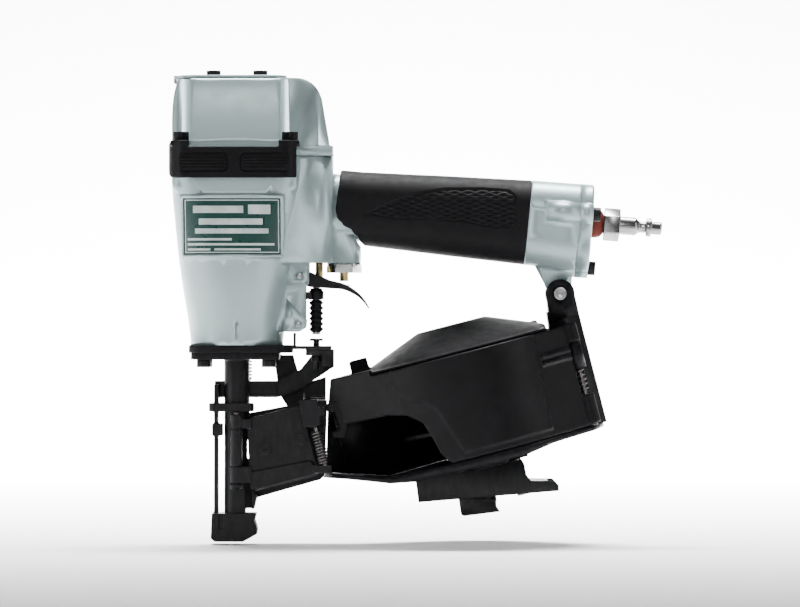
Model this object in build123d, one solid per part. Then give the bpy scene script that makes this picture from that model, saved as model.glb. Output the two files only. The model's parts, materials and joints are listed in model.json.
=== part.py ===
from build123d import *
import math
import os

os.makedirs("parts", exist_ok=True)

# Frame: origin at the nail exit of the contact foot, +Z up the barrel, +X back along the handle.
BODY_BOTTOM = 117.6
BODY_TOP = 230.0
BARREL_SECTIONS = (  # height, half width, corner radius
    (BODY_BOTTOM, 27.7, 27.2),
    (145, 31.2, 29),
    (174, 35, 26),
    (197, 37, 21),
    (215, 38.2, 16),
    (BODY_TOP, 38.4, 13),
)
BLOCK_REAR = 57.7
BLOCK_HALF = 26
WALL = 3.5
BORE_RADIUS = 32.5
LINER_RADIUS = 22.5
PISTON_RADIUS = 20.4
BLADE_RADIUS = 4.6
NOSE_BORE = 5.2
NOSE_RADIUS = 7.6
MUZZLE_RADIUS = 5.5
CAP_TOP = 276.0
CAP_BOLT_X = 32.4
CAP_BOLT_Y = 29.0
GASKET = 0.5
GRIP_THICKNESS = 2.6
HANDLE_SECTIONS = (  # station, middle height, width, height
    (56, 200.6, 42, 45),
    (75.5, 199.3, 41, 44),
    (125, 195.1, 40, 47.8),
    (177, 190.7, 42, 51),
    (212, 187.2, 42, 53),
)
HANDLE_CORNER = 17
GRIP_END_TOP = (177.0, 217)
GRIP_END_BOTTOM = (171.8, 165)
REAR_SLOPE = 4.5
REAR_ORIGIN = (205, 0, 191.3)
TRIGGER_PIN = (37.9, 158.9)
LOWER_PIN = (37.1, 130.0)
EAR_INSIDE = 11.2
EAR_OUTSIDE = 14.2
VALVE_X = 64.3
PUSH_ROD_X = 47.6
STEM_X = 49.4
DOOR_PIN_Y = -11.5
PIN_RADIUS = 1.6
PIN_HOLE = 1.65
CLEAR = 0.3

# Magazine: drawn level about its own centre, then tilted up towards the rear.
MAG_TILT = 14.5
MAG_CENTRE = (132, 0, 80)
CAN_U = 9.0
CAN_RADIUS = 60.0
CAN_WALL = 2.5
COVER_TOP = 31.8
NECK_TOP = 35.4
LID_BASE = 32.2
FLOOR_TOP = -30.3
NEAR_NECK = (-74, -13)
FAR_NECK = (-74, 13)
NEAR_REAR = (76.4, -19.9)
FAR_REAR = (84.7, 14)
COVER_PIN = (76.4, -16)
ARM_BOLT = (76.8, 50.8)
GUIDE_BOLT_U = 26.0

# Barrel, nose, feed and trigger group.
REAR_BOLTS = ((20.5, 5.0), (-20.5, 5.0), (0, -27.0))  # across and up, from the inlet axis
COVER_BASE = CAP_TOP + 0.9
PAD_SPANS = ((-33.3, -4.0), (3.2, 32.8))
PISTON_BOTTOM = 206.0
PISTON_TOP = 221.0
BLADE_TIP = 66.0
NOSE_BOLTS = ((-19.4, -12), (-19.4, 12), (19.4, -12), (19.4, 12))
NOSE_TIP = 14.6
LATCH_TOP = (46.0, -16.5, 75.0)
LATCH_DOWN = Vector(5.7, 0, -23).normalized()
DOOR_SCREWS = ((17.6, 55.3), (38.4, 61.0))
FEED_Y = 21.5
FEED_Z = 66.0


def box_between(low, high):
    """Box from its lowest to its highest corner."""
    size = [b - a for a, b in zip(low, high)]
    middle = [(a + b) / 2 for a, b in zip(low, high)]
    return Pos(*middle) * Box(*size)


def rod(radius, start, end):
    """Round bar between two points."""
    start, end = Vector(*start), Vector(*end)
    plane = Plane(origin=start, z_dir=end - start)
    return extrude(plane * Circle(radius), amount=(end - start).length)


def tube(outer, inner, start, end):
    return rod(outer, start, end) - rod(inner, start, end)


def side_plate(points, y_low, y_high):
    """Plate with an outline in the XZ plane, between two Y values."""
    outline = Plane.XZ * Polygon(*points, align=None)
    return Pos(0, y_high, 0) * extrude(outline, amount=y_high - y_low, dir=(0, -1, 0))


def rounded_plate(points, radius, y_low, y_high):
    """Plate like side_plate, with rounded corners."""
    outline = Plane.XZ * Polygon(*points, align=None)
    outline = fillet(outline.vertices(), radius)
    return Pos(0, y_high, 0) * extrude(outline, amount=y_high - y_low, dir=(0, -1, 0))


def both_sides(shape):
    return shape + mirror(shape, about=Plane.XZ)


def flat_plate(outline, low, high):
    """Plate with an outline in the XY plane, between two heights."""
    return Pos(0, 0, low) * extrude(outline, amount=high - low, dir=(0, 0, 1))


def plan_polygon(points):
    return Polygon(*points, align=None)


def turned(profile):
    """Solid of revolution about Z from points of (radius, height)."""
    return revolve(Plane.XZ * Polygon(*profile, align=None), axis=Axis.Z)


def hexagon_bar(across_flats, start, end):
    start, end = Vector(*start), Vector(*end)
    plane = Plane(origin=start, z_dir=end - start)
    outline = RegularPolygon(across_flats / 2, 6, major_radius=False)
    return extrude(plane * outline, amount=(end - start).length)


def coil_spring(radius, wire, start, end, turns):
    """Round-wire helical spring of a given outer radius and wire radius."""
    start, end = Vector(*start), Vector(*end)
    height = (end - start).length - 2 * wire
    path = Helix(pitch=height / turns, height=height, radius=radius - wire)
    section = Plane(origin=path @ 0, z_dir=path % 0) * Circle(wire)
    coil = sweep(section, path=path, is_frenet=True)
    return Plane(origin=start, z_dir=end - start).location * Pos(0, 0, wire) * coil


def socket_screw(head_radius, head_height, shank_radius, head_base, direction, length):
    """Cap screw with a hexagon socket; direction points from the head's base out of the head."""
    base, out = Vector(*head_base), Vector(*direction).normalized()
    top = base + out * head_height
    screw = rod(head_radius, base, top) + rod(shank_radius, base, base - out * length)
    return screw - hexagon_bar(head_radius, top - out * head_height * 0.6, top + out)


def group(shapes):
    return Compound(children=[solid for shape in shapes for solid in shape.solids()])


# ---- Body ----------------------------------------------------------------------------------------

def barrel(grow=0.0):
    sections = [
        Pos(0, 0, z) * RectangleRounded(2 * (half + grow), 2 * (half + grow), corner + grow)
        for z, half, corner in BARREL_SECTIONS
    ]
    return loft(sections)


def handle_loft(inset, start=None, end=None):
    """Handle's rounded section, lofted along X and taken in by an inset."""
    faces = []
    for x, middle, width, height in HANDLE_SECTIONS:
        plane = Plane(origin=(x, 0, middle), x_dir=(0, 1, 0), z_dir=(1, 0, 0))
        outline = RectangleRounded(width - 2 * inset, height - 2 * inset, HANDLE_CORNER - inset)
        faces.append(plane * outline)
    whole = loft(faces)
    low = HANDLE_SECTIONS[0][0] - 1 if start is None else start
    high = HANDLE_SECTIONS[-1][0] + 1 if end is None else end
    return whole & box_between((low, -40, 100), (high, 40, 260))


def rear_plane(distance=0.0):
    """Plane across the inlet axis, a distance behind the housing's rear face."""
    slope = math.radians(REAR_SLOPE)
    along = Vector(math.cos(slope), 0, -math.sin(slope))
    return Plane(origin=Vector(*REAR_ORIGIN) + along * distance, x_dir=(0, 1, 0), z_dir=along)


def behind_rear(distance=0.0):
    """Everything behind the rear plane, as one large block."""
    return extrude(rear_plane(distance) * Rectangle(300, 300), amount=100)


def rear_boss(low, high, radius):
    """Three screw bosses along the inlet axis, between two distances."""
    bosses = [
        extrude(rear_plane(low) * Pos(across, up) * Circle(radius), amount=high - low)
        for across, up in REAR_BOLTS
    ]
    return bosses


def label_window(grow):
    return box_between((-31 - grow, -60, 171.6 - grow), (27 + grow, -12, 205 + grow))


def valve_block():
    block = box_between((5, -BLOCK_HALF, 166.9), (BLOCK_REAR, BLOCK_HALF, BODY_TOP))
    upright = block.edges().filter_by(Axis.Z).group_by(Axis.X)[-1]
    block = fillet(upright, 9)
    return block


def valve_boss():
    """Block under the handle's root that holds the trigger valve."""
    outline = [(50, 166.9), (73.5, 166.9), (74.4, 168), (74.4, 176.5), (69, 184), (60, 192), (50, 200)]
    boss = side_plate(outline, -13.5, 13.5)
    return fillet(boss.edges().filter_by(Axis.Z), 5)


def rear_housing():
    """Full-size end of the handle behind the grip, with a slanted front edge."""
    outline = [(177, 240), GRIP_END_TOP, GRIP_END_BOTTOM, (171.8, 140), (230, 140), (230, 240)]
    return handle_loft(0, 165) & side_plate(outline, -40, 40)


def trigger_ears():
    outline = [(29, 168), (43.5, 168), (43.5, 154.5), (41.5, 152.8)]
    outline += [(41.5, 134), (38, 126), (30, 125.6), (25, 125.6)]
    upper_pad = [(29, 168), (43.5, 168), (43.5, 157), (41, 154.3), (29, 154.3)]
    lower_pad = [(30, 145.5), (42, 132.5), (41.3, 128), (37.5, 125.6), (28, 125.6)]
    ear = side_plate(outline, EAR_INSIDE, EAR_OUTSIDE)
    ear += side_plate(upper_pad, EAR_OUTSIDE, EAR_OUTSIDE + 0.9)
    ear += side_plate(lower_pad, EAR_OUTSIDE, EAR_OUTSIDE + 1.3)
    return both_sides(ear)


def rear_lug():
    outline = [(176, 170), (200, 168), (201, 160), (200.4, 150), (188, 145), (184, 155)]
    lug = side_plate(outline, -5, 5) & side_plate([(176, 170), (210, 170), (210, 148.4), (187, 148.4)], -5, 5)
    return lug + rod(6.8, (193.6, -5, 148.4), (193.6, 5, 148.4))


def cap_bolt_places():
    return [(x, y) for x in (-CAP_BOLT_X, CAP_BOLT_X) for y in (-CAP_BOLT_Y, CAP_BOLT_Y)]


def cap_bolt_boss(x, y):
    """Post under a cap bolt, with a round lower end."""
    return rod(5.2, (x, y, 213), (x, y, BODY_TOP)) + Pos(x, y, 213) * Sphere(5.2)


def body_housing():
    body = barrel() + valve_block() + handle_loft(GRIP_THICKNESS, 55.5, 180) + rear_housing()
    body += valve_boss()
    body += trigger_ears() + rear_lug()
    body += (barrel(0.7) & label_window(2.0)) - label_window(0)
    for boss in rear_boss(-20, 3, 6.2):
        body += boss
    for x, y in cap_bolt_places():
        body += cap_bolt_boss(x, y)
    body -= behind_rear()
    profile = [(0, 121), (24.2, 121), (27, 145), (30.5, 174)]
    profile += [(BORE_RADIUS, 190), (BORE_RADIUS, 231), (0, 231)]
    chamber = turned(profile)
    body -= chamber
    body -= handle_loft(GRIP_THICKNESS + WALL, 55, 215)
    body -= box_between((25, -14, 185), (58, 14, 215))
    body -= barrel(0) - barrel(-0.6) & label_window(0)
    body -= rod(BLADE_RADIUS + 0.6, (0, 0, 110), (0, 0, 125))
    body -= rod(8.05, (VALVE_X, 0, 160), (VALVE_X, 0, 195))
    body -= rod(2.75, (STEM_X, 0, 160), (STEM_X, 0, 178))
    for x, y in cap_bolt_places():
        body -= rod(3.0, (x, y, 214), (x, y, 240))
    for x, y in NOSE_BOLTS:
        body -= rod(2.5, (x, y, 110), (x, y, 119.5))
    for x, z in (TRIGGER_PIN, LOWER_PIN):
        body -= rod(PIN_HOLE, (x, -20, z), (x, 20, z))
    body -= rod(2.6, (193.6, -20, 148.4), (193.6, 20, 148.4))
    for hole in rear_boss(-14, 3, 2.5):
        body -= hole
    return body


def name_plate():
    skin = barrel(-0.1) - barrel(-0.55)
    return skin & label_window(-0.3)


def top_outline(inset=0.0):
    block = Pos(BLOCK_REAR / 2, 0) * Rectangle(BLOCK_REAR - 2 * inset, 2 * (BLOCK_HALF - inset))
    return RectangleRounded(2 * (38.4 - inset), 2 * (38.4 - inset), 13 - inset) + block


def cap_gasket():
    sheet = flat_plate(top_outline(0.7), BODY_TOP, BODY_TOP + GASKET)
    sheet -= rod(BORE_RADIUS + 0.3, (0, 0, 229), (0, 0, 232))
    for x, y in cap_bolt_places():
        sheet -= rod(3.2, (x, y, 229), (x, y, 232))
    return sheet


def cap_rear():
    """Exhaust end of the cap: a hood with a rolled top edge above a low flange."""
    rise = Line((-10, 236.5), (-10, CAP_TOP + 0.9))
    top = Line((-10, CAP_TOP + 0.9), (35, CAP_TOP + 0.9))
    roll = ThreePointArc((35, CAP_TOP + 0.9), (46.6, 272.6), (51.3, 263))
    slope = Polyline((51.3, 263), (55.8, 236.5), (-10, 236.5))
    outline = Plane.XZ * make_face([rise, top, roll, slope])
    hood = Pos(0, 24, 0) * extrude(outline, amount=48, dir=(0, -1, 0))
    hood &= flat_plate(Pos(23.4, 0) * RectangleRounded(68, 47, 9), 236, 280)
    return hood + flat_plate(top_outline(), BODY_TOP + GASKET, 236.6)


def top_cap():
    base = BODY_TOP + GASKET
    front = loft([
        Pos(0, 0, z) * RectangleRounded(2 * half, 2 * half, corner)
        for z, half, corner in ((base, 38.4, 13), (246, 38, 13), (272, 35.6, 12), (CAP_TOP, 34.2, 11))
    ])
    cap = front + cap_rear()
    for x in (-1, 1):
        for y in (-1, 1):
            low = (min(x * 27, x * 60), min(y * 23.5, y * 60), 236)
            high = (max(x * 27, x * 60), max(y * 23.5, y * 60), 300)
            notch = box_between(low, high)
            inner = notch.edges().filter_by(Axis.Z).sort_by_distance((0, 0, 268))[0:1]
            cap -= fillet(inner, 5)
            cap -= rod(3.0, (x * CAP_BOLT_X, y * CAP_BOLT_Y, 229), (x * CAP_BOLT_X, y * CAP_BOLT_Y, 240))
    cap -= rod(32, (0, 0, base - 1), (0, 0, 262))
    cap -= rod(9, (0, 0, 260), (0, 0, 280))
    for x in (-14, 14):
        cap -= rod(2.5, (x, 0, 266), (x, 0, 280))
    return cap


def exhaust_cover():
    plate = flat_plate(Pos(-2, 0) * RectangleRounded(64, 50, 12), COVER_BASE, COVER_BASE + 1.7)
    plate += flat_plate(Pos(-33.5, 0) * RectangleRounded(8, 26, 2.5), COVER_BASE, COVER_BASE + 1.7)
    plate += box_between((-37.5, -11, COVER_BASE - 2.6), (-36, 11, COVER_BASE + 0.8))
    for x in (-14, 14):
        plate -= rod(2.7, (x, 0, 270), (x, 0, 285))
    return plate


def exhaust_cover_screws():
    return group(socket_screw(4.25, 3.6, 2.45, (x, 0, COVER_BASE + 1.7), (0, 0, 1), 12) for x in (-14, 14))


def guard():
    outer = flat_plate(Pos(-0.4, 0) * RectangleRounded(78.2, 89, 13), 217, 239.2)
    outer &= rounded_plate([(-39.5, 217), (-39.5, 239.2), (38.7, 239.2), (38.7, 217)], 3.2, -45, 45)
    band = outer - flat_plate(RectangleRounded(2 * 38.5, 2 * 38.5, 13), 216, 240)
    band -= box_between((30, -38.4, 216), (60, 38.4, 240))
    band -= box_between((-28, -60, 235.4), (26, 60, 240))
    for x in (-1, 1):
        for y in (-1, 1):
            corner = (x * 27.4, y * 23.9, 236.1)
            ear = box_between(
                (min(corner[0], x * 38), min(corner[1], y * 40), 236.1),
                (max(corner[0], x * 38), max(corner[1], y * 40), 239.2),
            )
            upright = ear.edges().filter_by(Axis.Z).sort_by_distance((0, 0, 237))[0:1]
            band += fillet(upright, 6)
            band -= rod(3.2, (x * CAP_BOLT_X, y * CAP_BOLT_Y, 230), (x * CAP_BOLT_X, y * CAP_BOLT_Y, 245))
    for span in PAD_SPANS:
        band -= both_sides(pad_block(span, 0, -50))
    return band


def pad_block(span, inset, near):
    """Rounded block the size of a rubber pad, from a depth of 43.1 towards the near side."""
    low, high = span[0] + inset, span[1] - inset
    corners = [(low, 220.7 + inset), (low, 231.7 - inset), (high, 231.7 - inset), (high, 220.7 + inset)]
    return rounded_plate(corners, 3.4, near, -43.1 - inset / 4)


def guard_pads():
    pads = []
    for span in PAD_SPANS:
        pad = pad_block(span, 0.3, -43.9)
        ribs = pad_block(span, 1.3, -44.6)
        for row in range(5):
            z = 222.5 + 1.85 * row
            pad += ribs & box_between((-60, -50, z - 0.55), (60, -43.4, z + 0.55))
        pads += [pad, mirror(pad, about=Plane.XZ)]
    return group(pads)


def cap_bolts():
    return group(
        socket_screw(4.8, 5.2, 2.95, (x, y, 239.2), (0, 0, 1), 24) for x, y in cap_bolt_places()
    )


# ---- Drive ---------------------------------------------------------------------------------------


def cylinder_liner():
    liner = tube(LINER_RADIUS, PISTON_RADIUS + 0.08, (0, 0, 121.1), (0, 0, 228))
    liner += tube(BORE_RADIUS - 0.05, LINER_RADIUS - 0.5, (0, 0, 196), (0, 0, 202))
    liner -= tube(BORE_RADIUS, BORE_RADIUS - 2, (0, 0, 197.8), (0, 0, 200.2))
    for turn in range(8):
        angle = math.radians(45 * turn)
        liner -= rod(1.5, (0, 0, 148), (30 * math.cos(angle), 30 * math.sin(angle), 148))
    return liner


def body_seals():
    """Gasket under the cap and ring seal round the liner's collar."""
    return group([cap_gasket(), tube(BORE_RADIUS - 0.03, BORE_RADIUS - 1.95, (0, 0, 197.9), (0, 0, 200.1))])


def piston():
    body = rod(PISTON_RADIUS, (0, 0, PISTON_BOTTOM), (0, 0, PISTON_TOP))
    body -= rod(12, (0, 0, PISTON_TOP - 8), (0, 0, PISTON_TOP + 1))
    body -= tube(PISTON_RADIUS + 1, PISTON_RADIUS - 2, (0, 0, 213), (0, 0, 216))
    return body - rod(3.0, (0, 0, PISTON_BOTTOM - 1), (0, 0, PISTON_BOTTOM + 8))


def piston_ring():
    return tube(PISTON_RADIUS + 0.04, PISTON_RADIUS - 1.95, (0, 0, 213.1), (0, 0, 215.9))


def driver_blade():
    return rod(BLADE_RADIUS, (0, 0, BLADE_TIP), (0, 0, PISTON_BOTTOM)) + rod(2.95, (0, 0, 205), (0, 0, 213))


def piston_bumper():
    bumper = turned([(6.2, 121.2), (20.2, 121.2), (20.2, 126), (17.5, 133), (17.5, 142), (6.2, 142)])
    return bumper


def head_valve():
    return turned([(13, 228.6), (24, 228.6), (24, 232), (31.7, 236), (31.7, 250), (13, 250)])


def head_valve_spring():
    return coil_spring(27, 1.2, (0, 0, 250.3), (0, 0, 261.7), 3)


# ---- Nose ----------------------------------------------------------------------------------------


def nose_gasket():
    outline = Pos(2.6, 0) * RectangleRounded(62, 52, 12)
    plate = flat_plate(outline, 113, BODY_BOTTOM) - rod(6, (0, 0, 110), (0, 0, 120))
    for x, y in NOSE_BOLTS:
        plate -= rod(2.6, (x, y, 110), (x, y, 120))
    return plate


def nose_flange():
    flange = flat_plate(Pos(-0.6, 0) * RectangleRounded(53, 38, 4), 109, 113)
    for x, y in NOSE_BOLTS:
        flange -= rod(2.6, (x, y, 100), (x, y, 120))
    return flange


def feed_wall():
    """Far wall of the nail channel, with the slot that the pawl works through."""
    outline = [(3, 34), (12.4, 26), (50, 36.6), (52.4, 39), (52.8, 44)]
    outline += [(54, 84.5), (36, 84), (30, 81), (3, 76)]
    wall = side_plate(outline, 6, 9.5)
    return wall - box_between((6, 5, 49), (26, 11, 61))


def nose_struts():
    outline = [(21.5, 111.5), (33.5, 111.5), (38.5, 93.5), (53.2, 98.5), (53.2, 80), (30, 80), (25, 88)]
    struts = side_plate(outline, 14.2, 17.4) + box_between((44, 9.4, 80), (53, 14.3, 86))
    return struts - rod(4.7, (*NOSE_BOLTS[-1], 80), (*NOSE_BOLTS[-1], 109))


def nose():
    body = rod(NOSE_RADIUS, (0, 0, NOSE_TIP), (0, 0, 110)) + nose_flange() + feed_wall() + nose_struts()
    body += side_plate([(0, 38), (5, 38), (12.2, 27), (10.6, 19.5), (0, 19.5)], -5, 7.2)
    for low, high in ((45.3, 67.6), (31.6, 34.8)):
        body += rod(3.6, (0, DOOR_PIN_Y, low), (0, DOOR_PIN_Y, high))
        body += box_between((-2.4, -11, low), (2.4, -5, high))
    body -= rod(NOSE_BORE, (0, 0, 0), (0, 0, 120))
    body -= box_between((0, -NOSE_BORE, 13), (9, NOSE_BORE, 68))
    return body - rod(PIN_HOLE, (0, DOOR_PIN_Y, 30), (0, DOOR_PIN_Y, 80))


def nose_bolts():
    return group(socket_screw(4.3, 4.6, 2.45, (x, y, 109), (0, 0, -1), 10) for x, y in NOSE_BOLTS)


# ---- Contact arm ---------------------------------------------------------------------------------


def contact_foot():
    outline = [(-14.8, 17), (-15.5, 2), (-13, 0), (4, 0), (12.4, 4.7), (12.4, 8.5), (10.8, 13), (12, 17)]
    foot = side_plate(outline, -10.5, 10.5)
    foot -= rod(NOSE_RADIUS + CLEAR, (0, 0, 6), (0, 0, 20))
    foot -= box_between((0, -NOSE_RADIUS - CLEAR, 6), (20, NOSE_RADIUS + CLEAR, 20))
    foot -= rod(MUZZLE_RADIUS, (0, 0, -1), (0, 0, 10))
    return foot - box_between((-10.6, -12, 7.5), (-7.9, -9.5, 15.9))


def contact_arm():
    arm = contact_foot()
    arm += box_between((-13.7, -5, 16.5), (-11, 5, 80))
    loop = flat_plate(Pos(-3.2, 0) * RectangleRounded(27, 21, 4), 77.9, 82.8)
    loop -= flat_plate(RectangleRounded(16.2, 16.2, 4), 77, 84)
    arm += loop
    arm += box_between((-14.8, -7, 63.3), (-8.4, -3, 70.6)) + box_between((-14.8, 3, 63.3), (-8.4, 7, 70.6))
    arm += box_between((-13.7, -5, 79), (-11, 11, 94)) + box_between((-13.7, 8.2, 86), (24, 11, 96))
    return arm


def contact_arm_bracket():
    outline = [(24, 86), (24, 96), (38, 103), (49.2, 116.9)]
    outline += [(58.2, 116.9), (58.2, 104.5), (50, 99), (36, 90)]
    plate = side_plate(outline, 8.2, 11)
    plate -= side_plate([(30, 110), (49, 119), (60, 119), (60, 115.1)], 8, 12)
    plate += box_between((41.3, -7, 111.4), (51.4, 8.4, 115.1))
    plate += box_between((51.3, -6, 105), (58.2, 8.4, 115.1)) - box_between((52.8, -4, 104), (56.8, 6, 113))
    return plate - rod(1.65, (PUSH_ROD_X, 0, 100), (PUSH_ROD_X, 0, 118))


def guide_plate():
    plate = box_between((33.9, -8, 115.1), (56.7, 8, 117.1)) + box_between((33.9, -8, 115.1), (35.4, 8, 125))
    return plate - rod(1.65, (PUSH_ROD_X, 0, 100), (PUSH_ROD_X, 0, 118))


def contact_arm_spring():
    return coil_spring(3, 0.5, (6, 9.7, 96.1), (6, 9.7, 108.9), 6)


def adjuster_stem():
    stem = rod(1.6, (PUSH_ROD_X, 0, 103), (PUSH_ROD_X, 0, 119))
    stem += rod(1.9, (PUSH_ROD_X, 0, 117.1), (PUSH_ROD_X, 0, 120.2))
    return stem + rod(4.1, (PUSH_ROD_X, 0, 120), (PUSH_ROD_X, 0, 121.5))


def adjuster_nut():
    nut = hexagon_bar(5.5, (PUSH_ROD_X, 0, 107.7), (PUSH_ROD_X, 0, 111.3))
    return nut - rod(1.65, (PUSH_ROD_X, 0, 107), (PUSH_ROD_X, 0, 112))


# ---- Trigger group -------------------------------------------------------------------------------

def plunger_housing():
    x = PUSH_ROD_X
    collar = rod(4.5, (x, 0, 144.8), (x, 0, 150.2)) + rod(3.6, (x, 0, 150), (x, 0, 151.6))
    collar += box_between((33, -EAR_INSIDE, 145), (x - 3, EAR_INSIDE, 149.5))
    return collar - rod(2.3, (x, 0, 140), (x, 0, 155))


def boot():
    """Ribbed rubber sleeve between the rod's tip and the plunger housing."""
    profile = [(2.3, 125.3)]
    for fold in range(6):
        low = 125.3 + 3.2 * fold
        profile += [(4.2, low + 0.3), (4.2, low + 1.6), (3.4, low + 2.0), (3.4, low + 2.9)]
    profile += [(2.3, 144.7)]
    return Pos(PUSH_ROD_X, 0, 0) * turned(profile)


def push_rod():
    shaft = rod(2.2, (PUSH_ROD_X, 0, 125), (PUSH_ROD_X, 0, 156))
    shaft += rod(2.5, (PUSH_ROD_X, 0, 123.9), (PUSH_ROD_X, 0, 125.3))
    return shaft + flat_plate(Pos(48.4, 0) * RectangleRounded(7.4, 5.4, 2.6), 155.8, 157.4)


def safety_stem():
    return rod(2.25, (STEM_X, 0, 157.4), (STEM_X, 0, 170))


def arc_plate(arc, corners, y_low, y_high):
    """Plate whose XZ outline is an arc through three points, closed by straight lines through the corners."""
    curve = ThreePointArc(*arc)
    lines = Polyline(arc[2], *corners, arc[0])
    face = Plane.XZ * make_face([curve, lines])
    return Pos(0, y_high, 0) * extrude(face, amount=y_high - y_low, dir=(0, -1, 0))


def trigger():
    """Curved lever of U section: two cheeks joined by a web along the finger edge."""
    x, z = TRIGGER_PIN
    crown = [(79.5, 139.8), (70.5, 150.8), (56.7, 156.2)]
    corners = [(x + 2, z + 4.2), (x - 3.4, z + 3), (x - 3.4, z - 3.2)]
    corners += [(44, 152.3), (59.7, 151.3), (78.8, 139.2)]
    body = arc_plate(crown, corners, -10.4, 10.4) + rod(4.6, (x, -10.4, z), (x, 10.4, z))
    body -= arc_plate([(59.7, 151.3), (71.6, 147.2), (78.8, 139.2)], [(60, 130)], -20, 20)
    pocket_floor = [(59.7, 153.0), (72.6, 148.7), (80.4, 140.0)]
    body -= arc_plate(pocket_floor, [(90, 140), (90, 175), (58, 175)], -8, 8)
    body -= box_between((30, -8, 140), (58.5, 8, 175))
    return body - rod(PIN_HOLE, (x, -20, z), (x, 20, z))


def trigger_arm():
    """Steel leaf inside the trigger that presses the valve plunger."""
    return side_plate([(60.5, 154.3), (68.5, 153.5), (68.5, 152.9), (60.5, 153.7)], -3, 3)


def trigger_pins():
    pins = [rod(PIN_RADIUS, (x, -16, z), (x, 16, z)) for x, z in (TRIGGER_PIN, LOWER_PIN)]
    return group(pins)


def trigger_spring():
    x, z = TRIGGER_PIN
    return tube(3.1, PIN_HOLE + 0.1, (x, -6, z), (x, 6, z))


def valve_body():
    x = VALVE_X
    body = hexagon_bar(18.2, (x, 0, 160.9), (x, 0, 165.2)) + rod(10.2, (x, 0, 165), (x, 0, 166.9))
    body += rod(8.0, (x, 0, 166), (x, 0, 190))
    body -= rod(2.7, (x, 0, 150), (x, 0, 172))
    return body - rod(5.5, (x, 0, 172), (x, 0, 188))


def valve_plunger():
    x = VALVE_X
    return rod(2.65, (x, 0, 155.9), (x, 0, 174)) + rod(5.2, (x, 0, 172.2), (x, 0, 175))


def valve_spring():
    return coil_spring(4.6, 0.5, (VALVE_X, 0, 175.1), (VALVE_X, 0, 187.8), 5)


# ---- Handle --------------------------------------------------------------------------------------

def grip():
    sleeve = handle_loft(0, 56, 178) - handle_loft(GRIP_THICKNESS - 0.05, 55, 180)
    top, bottom = GRIP_END_TOP, GRIP_END_BOTTOM
    outline = [(62.8, 230), (60.5, 206), (59.6, 197), (61.1, 191), (69, 185.8), (76, 177), (78, 150)]
    outline += [(bottom[0] - 0.1, 150), (bottom[0] - 0.1, bottom[1])]
    outline += [(top[0] - 0.1, top[1]), (top[0] - 0.1, 230)]
    sleeve &= side_plate(outline, -40, 40)
    return sleeve


def rear_cap():
    thickness = 7.6
    section = rear_plane() * Pos(0, -3.4) * RectangleRounded(42, 52.6, 16)
    cap = extrude(section, amount=thickness)
    last = rear_plane(thickness)
    edges = [edge for edge in cap.edges() if abs(last.to_local_coords(edge.center()).Z) < 0.01]
    cap = fillet(edges, 1.6)
    for boss in rear_boss(0, thickness, 6.2):
        cap += boss
    cap -= extrude(rear_plane(-1) * Circle(6.6), amount=thickness + 3)
    for hole in rear_boss(-1, thickness + 1, 2.6):
        cap -= hole
    return cap


def rear_cap_bolts():
    out = rear_plane().z_dir
    screws = []
    for across, up in REAR_BOLTS:
        base = (rear_plane(7.6) * Pos(across, up)).position
        screws.append(socket_screw(4.2, 4.4, 2.45, tuple(base), tuple(out), 20))
    return group(screws)


def along_inlet(profile):
    """Solid of revolution about the inlet axis from points of (radius, distance behind the housing)."""
    return rear_plane().location * turned(profile)


def inlet_bush():
    return along_inlet([(5.2, -4), (6.5, -4), (6.5, 7.7), (8.6, 7.7), (8.6, 11), (7.6, 13.5), (5.2, 15)])


def air_plug():
    plug = along_inlet([
        (2.5, -3), (5.15, -3), (5.15, 18), (6.4, 18), (6.4, 19), (5.4, 25), (5.4, 34), (3.4, 36.4),
        (3.4, 40), (5.6, 40.6), (5.6, 43.4), (3.95, 43.6), (3.95, 49), (3.2, 50), (2.5, 50),
    ])
    across = hexagon_bar(17.2, tuple(rear_plane(15.1).origin), tuple(rear_plane(24.6).origin))
    plug += across - extrude(rear_plane(14) * Circle(5), amount=12)
    return plug


# ---- Magazine, drawn in its own tilted frame -----------------------------------------------------

def mag_location():
    tilt = math.radians(MAG_TILT)
    along = (math.cos(tilt), 0, math.sin(tilt))
    upwards = (-math.sin(tilt), 0, math.cos(tilt))
    plane = Plane(origin=MAG_CENTRE, x_dir=along, z_dir=upwards)
    return plane.location


def wall_line(tip, inset):
    """Tangent point and tip of a straight wall that leaves the canister, moved in by an inset."""
    u, y = tip
    reach = math.hypot(u - CAN_U, y)
    turn = math.copysign(math.acos(CAN_RADIUS / reach), y * (u - CAN_U))
    angle = math.atan2(y, u - CAN_U) + turn
    across = (math.cos(angle), math.sin(angle))
    touch = (CAN_U + (CAN_RADIUS - inset) * across[0], (CAN_RADIUS - inset) * across[1])
    return touch, (u - inset * across[0], y - inset * across[1])


def magazine_plan(inset=0.0):
    outline = Pos(CAN_U, 0) * Circle(CAN_RADIUS - inset)
    for near, far in ((NEAR_NECK, FAR_NECK), (NEAR_REAR, FAR_REAR)):
        near_touch, near_tip = wall_line(near, inset)
        far_touch, far_tip = wall_line(far, inset)
        outline += plan_polygon([near_touch, near_tip, far_tip, far_touch])
    return outline


def neck_front(inset=0.0):
    return box_between((-88, -13 + inset, -90), (-73.9, 13 - inset, 60))


def shell_side():
    """Side outline of the fixed shell in the magazine's frame."""
    front = [(-69.5, NECK_TOP), (-75, 20), (-86, -18), (-62, -26), (-50, FLOOR_TOP)]
    return side_plate([(-45, 32), (-50, NECK_TOP), *front, (90, FLOOR_TOP), (90, 32)], -80, 80)


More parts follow.
